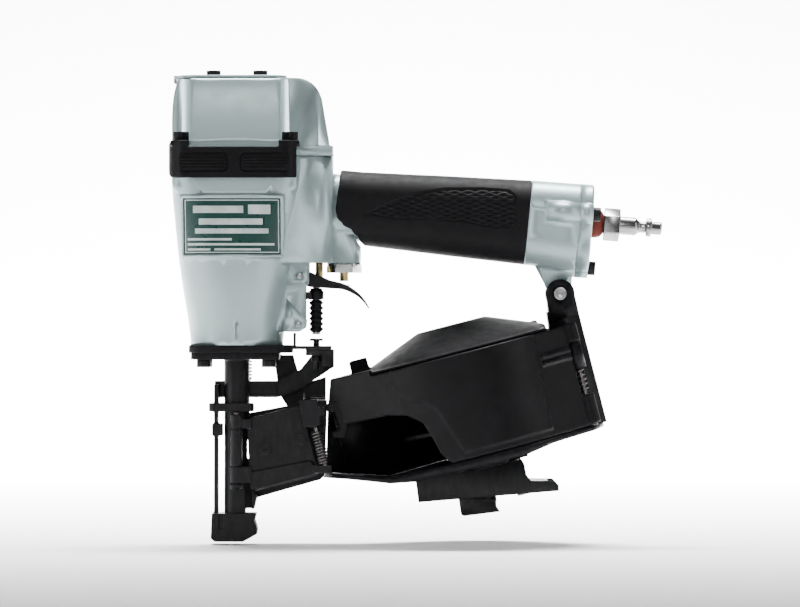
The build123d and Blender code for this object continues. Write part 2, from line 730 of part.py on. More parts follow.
def rear_block():
    block = box_between((64, -9.5, FLOOR_TOP), (84.7, 13, 42))
    block &= side_plate([(64, -40), (84.7, -40), (84.7, 50), (67, 50), (64, 20)], -20, 20)
    u, w = ARM_BOLT
    for low, high in ((-11, -5.2), (5.2, 11)):
        block += side_plate([(66.5, 36), (84.7, 36), (u + 8.3, w), (u - 8.3, w)], low, high)
        block += rod(8.6, (u, low, w), (u, high, w))
    block -= box_between((60, -5.2, 42), (90, 5.2, 70))
    block += rod(4.6, (*COVER_PIN, 5), (*COVER_PIN, 20.7)) + box_between((73.6, -16, 5), (80.4, -9, 20.7))
    block -= rod(PIN_HOLE, (*COVER_PIN, 0), (*COVER_PIN, 22))
    block -= rod(CAN_RADIUS - CAN_WALL, (CAN_U, 0, -60), (CAN_U, 0, 60))
    return block - rod(2.6, (u, -20, w), (u, 20, w))


def magazine_shell():
    walls = flat_plate(magazine_plan(), FLOOR_TOP, NECK_TOP) - flat_plate(magazine_plan(CAN_WALL), -40, 40)
    walls += (neck_front() - neck_front(CAN_WALL)) & box_between((-90, -20, FLOOR_TOP), (-70, 20, 32))
    walls -= box_between((-76, -40, -60), (-70, 9.9, 60))
    walls &= box_between((-100, 0.4, -60), (90, 80, 60))
    walls &= shell_side()
    shell = walls + rear_block()
    return mag_location() * shell


def magazine_lid():
    rim = flat_plate(magazine_plan(), LID_BASE, 33.8) & box_between((-44.6, -80, 0), (63.4, 80, 80))
    rim += flat_plate(magazine_plan(CAN_WALL + 0.4), LID_BASE, 35) & box_between((-62, -80, 0), (-44, 80, 80))
    rim -= rod(50.5, (CAN_U, 0, 30), (CAN_U, 0, 40))
    roof = [(58.6, 33.6), (50.2, 33.6), (50.2, 34.8), (19.5, 46.6)]
    roof += [(0, 46.6), (0, 49), (21, 49), (52.8, 36.4)]
    cone = Pos(CAN_U, 0, 0) * turned(roof)
    beside_neck = flat_plate(magazine_plan(-2), 32, 36) - flat_plate(magazine_plan(CAN_WALL + 0.4), 31, 37)
    cone -= beside_neck & box_between((-80, -80, 30), (-44.4, 80, 40))
    lugs = box_between((-56, -10, 34.9), (-45, 2, 43)) + box_between((50, 14, 34.9), (60, 26, 39))
    lugs -= rod(52.5, (CAN_U, 0, 30), (CAN_U, 0, 60))
    cone &= box_between((-80, -80, 0), (63.4, 80, 80))
    return mag_location() * (rim + cone + lugs)


def magazine_base():
    body = flat_plate(magazine_plan(), -40, 0) + (neck_front() & box_between((-90, -20, -40), (-70, 20, 0)))
    profile = [(-86, -18.1), (-62, -26.1), (-50, FLOOR_TOP - 0.1)]
    profile += [(83, FLOOR_TOP - 0.1), (83, -33), (50, -33.5)]
    profile += [(33, -35.8), (-33, -35.8), (-50, -33), (-62, -28.8), (-86, -20.8)]
    body &= side_plate(profile, -80, 80)
    body += box_between((8, -8, -38.5), (34, 8, -35.5))
    lug_start, lug_end = (3, -33, -34.8), (19, -33, -34.8)
    body += rod(3.6, lug_start, lug_end) + Pos(*lug_start) * Sphere(3.6) + Pos(*lug_end) * Sphere(3.6)
    body -= rod(2.1, (GUIDE_BOLT_U, 0, -45), (GUIDE_BOLT_U, 0, -34))
    return mag_location() * (body - rod(6.06, (CAN_U, 0, -60), (CAN_U, 0, 0)))


def cover_barrels():
    return rod(4.9, (*COVER_PIN, 21), (*COVER_PIN, 32.6)) + rod(4.9, (*COVER_PIN, -29), (*COVER_PIN, -11))


def raised(low, high, depth):
    """Skin that stands a small depth proud of the magazine's walls, between two heights."""
    return flat_plate(magazine_plan(-depth), low, high) - flat_plate(magazine_plan(0.5), low - 1, high + 1)


def cover_relief():
    """Raised panel behind the window, with two ribs beside the hinge."""
    panel = [(-33.5, COVER_TOP), (-33.8, 22), (-31.8, 12.5), (-26, 11)]
    panel += [(-18.5, 9.6), (-11.9, 2.9), (-7.5, -10.3)]
    panel += [(-2, -25.2), (52, -25.2), (54, COVER_TOP)]
    relief = raised(-26, COVER_TOP, 0.8) & side_plate(panel, -90, -12.4)
    for low in (12, 16.2):
        relief += raised(low, low + 2.2, 1.4) & box_between((56, -80, 0), (74, -12.4, 40))
    return relief


def walls_between(low, high):
    """Thin wall round the magazine's plan, between two heights."""
    return flat_plate(magazine_plan(), low, high) - flat_plate(magazine_plan(CAN_WALL), low - 1, high + 1)


def magazine_cover():
    window = [(-100, 7.1), (-64.7, 7.1), (-40.5, 6.3), (-30, 3.7)]
    window += [(-21.9, -2.9), (-18.8, -12.5), (-16.1, -23.2)]
    window += [(-11.2, -30), (-11.2, -40), (-100, -40)]
    front_cut = [(-100, 60), (-69.5, 60), (-69.5, 35), (-74, 20), (-100, 20)]
    wall = walls_between(-29.8, COVER_TOP) & box_between((-73.5, -80, -60), (74, -12.4, 60))
    wall -= side_plate(window, -90, 0)
    wall += walls_between(COVER_TOP, NECK_TOP) & box_between((-73.5, -80, 30), (-45, -12.4, 60))
    wall -= side_plate(front_cut, -90, 0)
    wall += cover_relief()
    wall += cover_barrels()
    wall -= rod(5.2, (*COVER_PIN, -11), (*COVER_PIN, 21))
    wall -= rod(PIN_HOLE, (*COVER_PIN, -40), (*COVER_PIN, 40))
    hook = [(-76, 22), (-67, 22), (-66, 5), (-69.5, -0.5), (-76, 1.5)]
    hook += [(-76, 5), (-70.4, 5), (-71.4, 17), (-76, 17)]
    return mag_location() * (wall + rounded_plate(hook, 1.2, -17.5, -12.4))


def cover_hinge_pin():
    pin = rod(PIN_RADIUS, (*COVER_PIN, -29.5), (*COVER_PIN, 32))
    pin += rod(2.6, (*COVER_PIN, -30.3), (*COVER_PIN, -29.2))
    return mag_location() * pin


def cover_spring():
    return mag_location() * coil_spring(2.9, 0.5, (*COVER_PIN, -10.6), (*COVER_PIN, 4.6), 5)


def magazine_bolts():
    """Bolt and nut of the rear lug, and the bolt that clamps the shingle guide."""
    x, z = 193.6, 148.4
    bolt = socket_screw(3.75, 4.0, 2.5, (x, -11.1, z), (0, -1, 0), 27)
    nut = hexagon_bar(8, (x, 11.1, z), (x, 15, z)) - rod(2.55, (x, 10, z), (x, 16, z))
    u = GUIDE_BOLT_U
    clamp = rod(2.0, (u, 0, -58), (u, 0, -34.6)) + rod(4, (u, 0, -60.5), (u, 0, -57.5))
    return group([bolt, nut, mag_location() * clamp])


def nail_post():
    post = rod(6.0, (CAN_U, 0, -38.5), (CAN_U, 0, 26)) + rod(7.4, (CAN_U, 0, -14.5), (CAN_U, 0, -12.3))
    return mag_location() * post


def nail_tray():
    tray = rod(44, (CAN_U, 0, -12), (CAN_U, 0, -9.4)) + rod(10, (CAN_U, 0, -10), (CAN_U, 0, 12))
    return mag_location() * (tray - rod(6.06, (CAN_U, 0, -20), (CAN_U, 0, 20)))


# ---- Feed door and latch -------------------------------------------------------------------------


def on_latch_axis(distance):
    point = Vector(*LATCH_TOP) + LATCH_DOWN * distance
    return tuple(point)


def feed_door():
    door = rounded_plate([(6.2, 73.3), (38.4, 82.1), (49.9, 40.4), (8.5, 29.7)], 3, -12.2, -9.2)
    door += rounded_plate([(9.2, 42), (44.5, 48.6), (49.2, 41.3), (9.6, 30.8)], 1.8, -13.4, -12)
    for low, high in ((67.9, 76.3), (35.2, 45.0)):
        door += rod(3.65, (0, DOOR_PIN_Y, low), (0, DOOR_PIN_Y, high))
        door += box_between((0, -13.6, low), (9, -10.4, min(high, 73.5)))
    door += side_plate([(11, 66), (42, 70), (44, 42), (11, 38)], -9.3, -5.9)
    for x, z in DOOR_SCREWS:
        door -= rod(1.55, (x, -20, z), (x, -7, z))
    door -= rod(PIN_HOLE, (0, DOOR_PIN_Y, 20), (0, DOOR_PIN_Y, 90))
    door += box_between((46, -20, 41.5), (58, -12, 45.7)) - box_between((57, -30, 30), (90, 0, 90))
    return door - rod(1.65, on_latch_axis(5), on_latch_axis(40))


def door_screws():
    screws = []
    for x, z in DOOR_SCREWS:
        screw = rod(3.35, (x, -13.8, z), (x, -12.2, z)) + rod(1.5, (x, -12.4, z), (x, -8, z))
        screw -= box_between((x - 2.1, -15, z - 0.45), (x + 2.1, -13.2, z + 0.45))
        screw -= box_between((x - 0.45, -15, z - 2.1), (x + 0.45, -13.2, z + 2.1))
        screws.append(screw)
    return group(screws)


def door_hinge_pin():
    y = DOOR_PIN_Y
    return rod(PIN_RADIUS, (0, y, 31.7), (0, y, 77.2))


def latch_rod():
    return rod(1.6, on_latch_axis(2), on_latch_axis(36)) + rod(2.6, on_latch_axis(35.4), on_latch_axis(37))


def latch_block():
    block = side_plate([(37.6, 84.8), (48.6, 85.5), (50.6, 70.5), (47, 68.6), (40.6, 68.7)], -20, -12.6)
    block += rod(1.7, (42, -16.5, 84), (42, -16.5, 90))
    block += side_plate([(48, 80), (53, 81), (53, 76), (49, 75)], -20, -15)
    return block - rod(1.72, on_latch_axis(-20), on_latch_axis(20))


def latch_spring():
    return coil_spring(3.5, 0.65, on_latch_axis(7.2), on_latch_axis(29.6), 10)


# ---- Feed drive ----------------------------------------------------------------------------------


def feed_cylinder():
    start, end = 28.6, 52
    body = tube(8.5, 7.0, (start, FEED_Y, FEED_Z), (end, FEED_Y, FEED_Z))
    body += rod(8.5, (end - 2, FEED_Y, FEED_Z), (end + 1, FEED_Y, FEED_Z))
    foot = box_between((29, 9.6, FEED_Z - 4), (50, 14, FEED_Z + 4))
    return body + (foot - rod(7.8, (20, FEED_Y, FEED_Z), (60, FEED_Y, FEED_Z)))


def feed_piston():
    x = 30
    body = rod(6.94, (x, FEED_Y, FEED_Z), (x + 8, FEED_Y, FEED_Z))
    body += rod(2.5, (14, FEED_Y, FEED_Z), (x, FEED_Y, FEED_Z))
    yoke = box_between((14, 10.2, 50), (19, 24, 52.4)) + box_between((14, 10.2, 57.6), (19, 24, 60))
    yoke += box_between((14, 18, 50), (19, 24, FEED_Z + 3))
    return body + yoke + rod(1.2, (16.5, 12.8, 50), (16.5, 12.8, 60))


def feed_pawl():
    outline = plan_polygon([(18.6, 11), (18.6, 14.6), (14.5, 14.8), (8.6, 9.4), (8.4, 6.2), (10, 6.2)])
    return flat_plate(outline, 52.6, 57.4) - rod(1.25, (16.5, 12.8, 50), (16.5, 12.8, 60))


# ---- Shingle guide -------------------------------------------------------------------------------

def shingle_guide():
    near = [(107.2, 36.2), (124.4, 40.2), (170.4, 49.6), (172, 46.6)]
    near += [(173.1, 40.7), (175.8, 36.9), (189.7, 36.9)]
    near += [(192.4, 34.3), (192.4, 31), (108.8, 24.1), (107.8, 32.1)]
    guide = side_plate(near, -24, -22.2) + side_plate(near, 22.2, 24)
    web = [(108.4, 31), (124, 34), (186, 37), (186, 35.2), (124, 32.2), (108.4, 29.2)]
    guide += side_plate(web, -22.4, 22.4)
    shoe_outline = [(131.6, 33.6), (134.5, 16), (136.2, 15.3), (157.6, 18), (155.4, 21.4), (155.4, 34.6)]
    shoe = side_plate(shoe_outline, -9, 9)
    shoe -= side_plate([(134.2, 40), (136.4, 17.6), (153.8, 19.8), (153.8, 40)], -7.2, 7.2)
    guide += shoe + box_between((133.6, -9.8, 24.6), (155.6, 9.8, 25.8))
    return guide - box_between((156.6, -2.6, 30.5), (184, 2.6, 60))


NODES = {
    "body_housing": body_housing, "name_plate": name_plate, "top_cap": top_cap,
    "exhaust_cover": exhaust_cover, "exhaust_cover_screws": exhaust_cover_screws, "guard": guard,
    "guard_pads": guard_pads, "cap_bolts": cap_bolts, "cylinder_liner": cylinder_liner, "body_seals": body_seals,
    "piston": piston, "piston_ring": piston_ring, "driver_blade": driver_blade, "piston_bumper": piston_bumper,
    "head_valve": head_valve, "head_valve_spring": head_valve_spring, "nose_gasket": nose_gasket, "nose": nose,
    "nose_bolts": nose_bolts, "contact_arm": contact_arm, "contact_arm_bracket": contact_arm_bracket,
    "guide_plate": guide_plate, "contact_arm_spring": contact_arm_spring, "adjuster_stem": adjuster_stem,
    "adjuster_nut": adjuster_nut, "plunger_housing": plunger_housing, "boot": boot, "push_rod": push_rod,
    "safety_stem": safety_stem, "trigger": trigger, "trigger_arm": trigger_arm, "trigger_pins": trigger_pins,
    "trigger_spring": trigger_spring, "valve_body": valve_body, "valve_plunger": valve_plunger,
    "valve_spring": valve_spring, "grip": grip, "rear_cap": rear_cap, "rear_cap_bolts": rear_cap_bolts,
    "inlet_bush": inlet_bush, "air_plug": air_plug, "magazine_shell": magazine_shell,
    "magazine_lid": magazine_lid, "magazine_base": magazine_base, "magazine_cover": magazine_cover,
    "cover_hinge_pin": cover_hinge_pin, "cover_spring": cover_spring, "magazine_bolts": magazine_bolts,
    "nail_post": nail_post, "nail_tray": nail_tray, "feed_door": feed_door, "door_screws": door_screws,
    "door_hinge_pin": door_hinge_pin, "latch_rod": latch_rod, "latch_block": latch_block,
    "latch_spring": latch_spring, "feed_cylinder": feed_cylinder, "feed_piston": feed_piston,
    "feed_pawl": feed_pawl, "shingle_guide": shingle_guide,
}

for node, make in NODES.items():
    export_step(make(), f"parts/{node}.step")
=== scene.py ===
import json
import math

import bmesh
import bpy
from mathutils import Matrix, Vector

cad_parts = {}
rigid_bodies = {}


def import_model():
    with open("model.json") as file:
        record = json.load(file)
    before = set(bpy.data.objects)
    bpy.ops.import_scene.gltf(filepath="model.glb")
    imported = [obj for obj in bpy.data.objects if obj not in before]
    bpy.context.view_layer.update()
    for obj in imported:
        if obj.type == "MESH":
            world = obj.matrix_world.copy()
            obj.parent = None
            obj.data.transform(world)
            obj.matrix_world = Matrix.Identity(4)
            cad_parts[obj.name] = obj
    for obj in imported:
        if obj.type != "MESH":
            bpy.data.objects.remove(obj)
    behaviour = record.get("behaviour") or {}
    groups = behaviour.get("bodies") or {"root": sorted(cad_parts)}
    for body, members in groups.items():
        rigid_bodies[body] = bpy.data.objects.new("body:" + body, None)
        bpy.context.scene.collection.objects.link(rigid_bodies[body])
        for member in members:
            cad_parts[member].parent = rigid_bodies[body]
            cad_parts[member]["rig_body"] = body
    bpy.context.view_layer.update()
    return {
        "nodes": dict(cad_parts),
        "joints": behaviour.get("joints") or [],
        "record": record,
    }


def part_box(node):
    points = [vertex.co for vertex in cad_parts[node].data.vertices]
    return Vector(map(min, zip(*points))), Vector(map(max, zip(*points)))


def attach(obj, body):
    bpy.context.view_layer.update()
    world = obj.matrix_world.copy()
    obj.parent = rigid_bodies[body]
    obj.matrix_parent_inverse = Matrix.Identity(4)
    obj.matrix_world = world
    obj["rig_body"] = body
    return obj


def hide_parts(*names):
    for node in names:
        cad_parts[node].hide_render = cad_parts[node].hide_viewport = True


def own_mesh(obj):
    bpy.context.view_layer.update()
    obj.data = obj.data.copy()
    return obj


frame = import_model()

MM = 0.001
NODES = frame["nodes"]
RECORD = frame["record"]
SLOT_OF = {row["node"]: row["material_slot"] for row in RECORD["subparts"]}

SHARP_ANGLE = 32  # degrees; edges of the CAD pieces above it stay sharp
WORN_EDGE = (0.56, 0.64)  # pointiness where rubbing starts and where it is full
NYLON = (0.0032, 0.0032, 0.004)
PAPER = (0.93, 0.93, 0.93)
MIDDLE = (0.09, 0, 0.15)  # what the lights face


# ---- Materials -----------------------------------------------------------------------------------

class Shader:
    """A principled material with short helpers for its procedural nodes."""

    def __init__(self, name, base, metallic=0.0, roughness=0.5, coat=0.0, specular=0.5):
        self.material = bpy.data.materials.new(name)
        self.material.use_nodes = True
        self.tree = self.material.node_tree
        self.bsdf = self.tree.nodes["Principled BSDF"]
        self.bsdf.inputs["Base Color"].default_value = (*base, 1)
        self.bsdf.inputs["Metallic"].default_value = metallic
        self.bsdf.inputs["Roughness"].default_value = roughness
        self.bsdf.inputs["Coat Weight"].default_value = coat
        self.bsdf.inputs["Coat Roughness"].default_value = 0.15
        self.bsdf.inputs["Specular IOR Level"].default_value = specular
        self.place = self.node("ShaderNodeTexCoord").outputs["Object"]
        self.height = None

    def node(self, kind, **settings):
        made = self.tree.nodes.new(kind)
        for key, value in settings.items():
            setattr(made, key, value)
        return made

    def link(self, source, target):
        self.tree.links.new(source, target)

    def math(self, operation, first, second=0.0, third=0.0):
        made = self.node("ShaderNodeMath", operation=operation)
        for socket, value in zip(made.inputs, (first, second, third)):
            if isinstance(value, (int, float)):
                socket.default_value = value
            else:
                self.link(value, socket)
        return made.outputs[0]

    def axis(self, letter):
        split = self.node("ShaderNodeSeparateXYZ")
        self.link(self.place, split.inputs[0])
        return split.outputs[letter]

    def noise(self, size_mm, detail=3.0, stretch=(1, 1, 1)):
        mapping = self.node("ShaderNodeMapping")
        mapping.inputs["Scale"].default_value = stretch
        self.link(self.place, mapping.inputs["Vector"])
        made = self.node("ShaderNodeTexNoise")
        made.inputs["Scale"].default_value = 1 / (size_mm * MM)
        made.inputs["Detail"].default_value = detail
        self.link(mapping.outputs[0], made.inputs["Vector"])
        return made.outputs["Fac"]

    def cells(self, size_mm):
        made = self.node("ShaderNodeTexVoronoi")
        made.inputs["Scale"].default_value = 1 / (size_mm * MM)
        self.link(self.place, made.inputs["Vector"])
        return made.outputs["Distance"]

    def span(self, value, low, high, out_low, out_high):
        made = self.node("ShaderNodeMapRange")
        made.inputs["From Min"].default_value = low
        made.inputs["From Max"].default_value = high
        made.inputs["To Min"].default_value = out_low
        made.inputs["To Max"].default_value = out_high
        self.link(value, made.inputs["Value"])
        return made.outputs["Result"]

    def mix(self, factor, first, second):
        made = self.node("ShaderNodeMix", data_type="RGBA")
        if isinstance(factor, (int, float)):
            made.inputs["Factor"].default_value = factor
        else:
            self.link(factor, made.inputs["Factor"])
        for socket, value in ((made.inputs["A"], first), (made.inputs["B"], second)):
            if isinstance(value, tuple):
                socket.default_value = (*value, 1)
            else:
                self.link(value, socket)
        return made.outputs["Result"]

    def wear(self):
        """One on convex edges, zero elsewhere, broken up by noise."""
        sharp = self.node("ShaderNodeNewGeometry").outputs["Pointiness"]
        edge = self.span(sharp, *WORN_EDGE, 0.0, 1.0)
        return self.math("MULTIPLY", edge, self.span(self.noise(4.0, 4.0), 0.4, 0.6, 0.0, 1.0))

    def soften(self, radius_mm):
        """Rounds sharp edges in the shading."""
        made = self.node("ShaderNodeBevel")
        made.samples = 6
        made.inputs["Radius"].default_value = radius_mm * MM
        self.height = made.outputs["Normal"]
        self.link(self.height, self.bsdf.inputs["Normal"])

    def colour(self, value):
        self.link(value, self.bsdf.inputs["Base Color"])

    def roughness(self, value):
        self.link(value, self.bsdf.inputs["Roughness"])

    def bump(self, height, depth_mm, strength=1.0):
        made = self.node("ShaderNodeBump")
        made.inputs["Distance"].default_value = depth_mm * MM
        made.inputs["Strength"].default_value = strength
        self.link(height, made.inputs["Height"])
        if self.height:
            self.link(self.height, made.inputs["Normal"])
        self.height = made.outputs["Normal"]
        self.link(self.height, self.bsdf.inputs["Normal"])


def tint(base, factor):
    return tuple(channel * factor for channel in base)


def painted(name, base):
    """Silver-green metallic paint: fine flakes, cloudy tone and soft orange peel."""
    shader = Shader(name, base, metallic=0.5, roughness=0.38, coat=0.1)
    shader.soften(0.5)
    flakes = shader.span(shader.cells(0.35), 0.1, 0.7, 0.0, 1.0)
    tone = shader.mix(flakes, tint(base, 1.16), tint(base, 0.88))
    clouds = shader.span(shader.noise(26.0, 3.0), 0.3, 0.7, 0.0, 1.0)
    shader.colour(shader.mix(shader.math("MULTIPLY", clouds, 0.25), tone, tint(base, 0.8)))
    shader.roughness(shader.span(shader.noise(9.0, 4.0), 0.3, 0.7, 0.35, 0.43))
    shader.bump(shader.noise(1.3, 2.0), 0.006, 0.5)
    return shader.material


def moulded(name, base, rough=(0.38, 0.55), specular=0.12):
    """Black moulded plastic with a fine spark-eroded grain and slightly polished edges."""
    grain_mm, depth_mm = 0.5, 0.02
    shader = Shader(name, base, roughness=0.4, specular=specular)
    shader.soften(0.5)
    clouds = shader.span(shader.noise(18.0, 3.0), 0.3, 0.7, 0.0, 1.0)
    tone = shader.mix(clouds, tint(base, 0.8), tint(base, 1.3))
    shader.colour(shader.mix(shader.math("MULTIPLY", shader.wear(), 0.35), tone, tint(base, 4.0)))
    shader.roughness(shader.span(shader.noise(6.0, 5.0), 0.3, 0.7, rough[0], rough[1]))
    shader.bump(shader.noise(grain_mm, 3.0), depth_mm, 0.7)
    return shader.material


def rubbery(name, base):
    """Dull rubber with a little dust."""
    shader = Shader(name, base, roughness=0.6, specular=0.1)
    dust = shader.span(shader.noise(11.0, 5.0), 0.45, 0.75, 0.0, 0.35)
    shader.colour(shader.mix(dust, base, tint(base, 1.5)))
    shader.roughness(shader.span(shader.noise(5.0, 4.0), 0.3, 0.7, 0.55, 0.68))
    shader.bump(shader.noise(0.4, 2.0), 0.02, 0.6)
    return shader.material


def blackened(name, base):
    """Black-oxide steel: satin, with rubbed edges and faint streaks."""
    shader = Shader(name, base, roughness=0.4, specular=0.16)
    streaks = shader.noise(3.0, 4.0, stretch=(1, 1, 0.25))
    tone = shader.mix(shader.span(streaks, 0.35, 0.7, 0.0, 1.0), tint(base, 0.75), tint(base, 1.4))
    shader.colour(shader.mix(shader.math("MULTIPLY", shader.wear(), 0.4), tone, (0.12, 0.12, 0.12)))
    shader.roughness(shader.span(shader.noise(4.0, 5.0), 0.3, 0.7, 0.34, 0.46))
    shader.bump(shader.noise(0.7, 3.0), 0.01, 0.5)
    return shader.material


def bare_metal(name, base, rough=(0.22, 0.4), stretch=(1, 1, 8)):
    """Turned or drawn metal with fine tool marks."""
    shader = Shader(name, base, metallic=1.0, roughness=0.3)
    marks = shader.noise(0.8, 4.0, stretch=stretch)
    stains = shader.span(shader.noise(7.0, 4.0), 0.4, 0.75, 0.0, 0.45)
    shader.colour(shader.mix(stains, base, tint(base, 0.6)))
    shader.roughness(shader.span(marks, 0.3, 0.7, rough[0], rough[1]))
    shader.bump(marks, 0.008, 0.5)
    return shader.material


def printed_label(name):
    """Dark green plate with a pale rule near its edge and blank pale bars, and no lettering."""
    green = (0.003, 0.032, 0.027)
    pale = (0.5, 0.56, 0.54)
    low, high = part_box("name_plate")
    width, height = high.x - low.x, high.z - low.z
    shader = Shader(name, green, roughness=0.4, specular=0.3)
    across = shader.math("DIVIDE", shader.math("SUBTRACT", shader.axis("X"), low.x), width)
    up = shader.math("DIVIDE", shader.math("SUBTRACT", shader.axis("Z"), low.z), height)

    def band(value, middle, half):
        return shader.math("COMPARE", value, middle, half)

    def patch(left, right, bottom, top):
        inside = band(across, (left + right) / 2, (right - left) / 2)
        return shader.math("MULTIPLY", inside, band(up, (bottom + top) / 2, (top - bottom) / 2))

    outer, inner = patch(0.012, 0.988, 0.02, 0.98), patch(0.022, 0.978, 0.038, 0.962)
    marks = shader.math("SUBTRACT", outer, inner)
    bars = (  # left, right, bottom and top, as shares of the plate
        (0.1, 0.62, 0.74, 0.87),
        (0.67, 0.9, 0.72, 0.89),
        (0.16, 0.82, 0.53, 0.64),
        (0.12, 0.88, 0.37, 0.46),
        (0.04, 0.5, 0.245, 0.285),
        (0.04, 0.94, 0.155, 0.195),
        (0.04, 0.28, 0.065, 0.1),
        (0.32, 0.8, 0.065, 0.1),
    )
    for left, right, bottom, top in bars:
        marks = shader.math("MAXIMUM", marks, patch(left, right, bottom, top))
    dirt = shader.span(shader.noise(8.0, 4.0), 0.4, 0.7, 0.75, 1.0)
    shader.colour(shader.mix(shader.math("MULTIPLY", marks, dirt), green, pale))
    shader.roughness(shader.span(shader.noise(5.0, 3.0), 0.3, 0.7, 0.26, 0.4))
    shader.bump(shader.noise(0.9, 2.0), 0.006, 0.5)
    return shader.material


def make_materials():
    return {
        "paint": painted("silver_green_paint", (0.33, 0.42, 0.425)),
        "black_steel": blackened("blackened_steel", (0.006, 0.006, 0.007)),
        "black_plastic": moulded("black_nylon", NYLON),
        "rubber": rubbery("black_rubber", (0.006, 0.0058, 0.0068)),
        "steel": bare_metal("machined_steel", (0.36, 0.36, 0.37)),
        "spring_steel": bare_metal("oiled_spring_steel", (0.13, 0.125, 0.12), stretch=(1, 1, 1)),
        "chrome": bare_metal("nickel_plate", (0.36, 0.36, 0.365), rough=(0.16, 0.28)),
        "brass": bare_metal("turned_brass", (0.42, 0.33, 0.15)),
        "aluminium": bare_metal("cut_aluminium", (0.62, 0.62, 0.63)),
        "label": printed_label("name_plate_print"),
        "seal_red": rubbery("red_brown_seal", (0.13, 0.028, 0.02)),
    }


# ---- Pieces --------------------------------------------------------------------------------------

def body_of(node):
    return NODES[node]["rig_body"]


def adopt(piece, node, materials):
    """Gives a made piece the body of the CAD node that it stands for and the material of that node's slot.
    """
    slot = SLOT_OF[node]
    piece.data.materials.clear()
    piece.data.materials.append(materials[slot])
    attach(piece, body_of(node))
    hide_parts(node)
    return piece


def new_object(name, mesh):
    made = bpy.data.objects.new(name, mesh)
    bpy.context.scene.collection.objects.link(made)
    return made


def apply_modifiers(piece):
    """Turns the evaluated shape into the piece's own mesh."""
    graph = bpy.context.evaluated_depsgraph_get()
    mesh = bpy.data.meshes.new_from_object(piece.evaluated_get(graph))
    piece.modifiers.clear()
    old, piece.data = piece.data, mesh
    bpy.data.meshes.remove(old)


def smooth_shade(mesh, angle=None):
    mesh.polygons.foreach_set("use_smooth", [True] * len(mesh.polygons))
    if angle is not None:
        mesh.set_sharp_from_angle(angle=math.radians(angle))


def dress(node, materials, bevel_mm):
    """Keeps a CAD node, with its material and softly broken edges."""
    piece = NODES[node]
    piece.data.materials.clear()
    piece.data.materials.append(materials[SLOT_OF[node]])
    weld = piece.modifiers.new("weld", "WELD")
    weld.merge_threshold = 0.002 * MM
    if bevel_mm:
        bevel = piece.modifiers.new("broken_edges", "BEVEL")
        bevel.width = bevel_mm * MM
        bevel.segments = 2
        bevel.limit_method = "ANGLE"
        bevel.angle_limit = math.radians(SHARP_ANGLE)
        bevel.harden_normals = True
        bevel.use_clamp_overlap = True
    smooth_shade(piece.data, SHARP_ANGLE)


def cast(node, materials, voxel_mm, passes):
    """Softens a CAD node into a cast or moulded piece: voxel remesh, then smoothing."""
    piece = new_object(node + "_cast", NODES[node].data.copy())
    remesh = piece.modifiers.new("remesh", "REMESH")
    remesh.mode = "VOXEL"
    remesh.voxel_size = voxel_mm * MM
    smooth = piece.modifiers.new("smooth", "SMOOTH")
    smooth.factor = 0.5
    smooth.iterations = passes
    apply_modifiers(piece)
    smooth_shade(piece.data)
    return adopt(piece, node, materials)


def mesh_from(name, verts, faces):
    mesh = bpy.data.meshes.new(name)
    mesh.from_pydata([tuple(v) for v in verts], [], faces)
    mesh.update()
    return new_object(name, mesh)


def fix_normals(piece):
    bm = bmesh.new()
    bm.from_mesh(piece.data)
    bmesh.ops.recalc_face_normals(bm, faces=bm.faces)
    bm.to_mesh(piece.data)
    bm.free()


def ring_skin(rows, closed_ends=True):
    """Faces that join rings of vertices, given as rows of indices, with the ends capped."""
    faces = []
    for first, second in zip(rows, rows[1:]):
        count = len(first)
        for i in range(count):
            faces.append((first[i], first[(i + 1) % count], second[(i + 1) % count], second[i]))
    if closed_ends:
        faces.append(tuple(reversed(rows[0])))
        faces.append(tuple(rows[-1]))
    return faces


def tube_along(name, points, radius):
    """Round wire along a list of points, with closed ends."""
    sides, sharp_angle = 12, 40
    verts, rows = [], []
    guide = Vector((0, 0, 1))
    for i, point in enumerate(points):
        ahead = points[min(i + 1, len(points) - 1)] - points[max(i - 1, 0)]
        ahead.normalize()
        side = ahead.cross(guide)
        if side.length < 0.1:
            side = ahead.cross(Vector((1, 0, 0)))
        side.normalize()
        guide = side.cross(ahead).normalized()
        row = []
        for k in range(sides):
            turn = 2 * math.pi * k / sides
            row.append(len(verts))
            verts.append(point + radius * (math.cos(turn) * side + math.sin(turn) * guide))
        rows.append(row)
    piece = mesh_from(name, verts, ring_skin(rows))
    fix_normals(piece)
    smooth_shade(piece.data, sharp_angle)
    return piece


def spring(name, radius, wire, start, end, turns, flat_turns=1.0):
    """Helical spring between two points, its first and last turns wound close."""
    start, end = Vector(start), Vector(end)
    axis = (end - start).normalized()
    side = axis.orthogonal().normalized()
    other = axis.cross(side)
    length = (end - start).length - 2 * wire
    steps = int((turns + 2 * flat_turns) * 24)
    points = []
    for i in range(steps + 1):
        turn = (turns + 2 * flat_turns) * i / steps
        closed = 2.1 * wire
        if turn < flat_turns:
            along = closed * turn
        elif turn > turns + flat_turns:
            along = length - closed * (turns + 2 * flat_turns - turn)
        else:
            along = closed * flat_turns + (length - 2 * closed * flat_turns) * (turn - flat_turns) / turns
        angle = 2 * math.pi * turn
        spoke = math.cos(angle) * side + math.sin(angle) * other
        points.append(start + axis * (wire + along) + spoke * (radius - wire))
    return tube_along(name, points, wire)


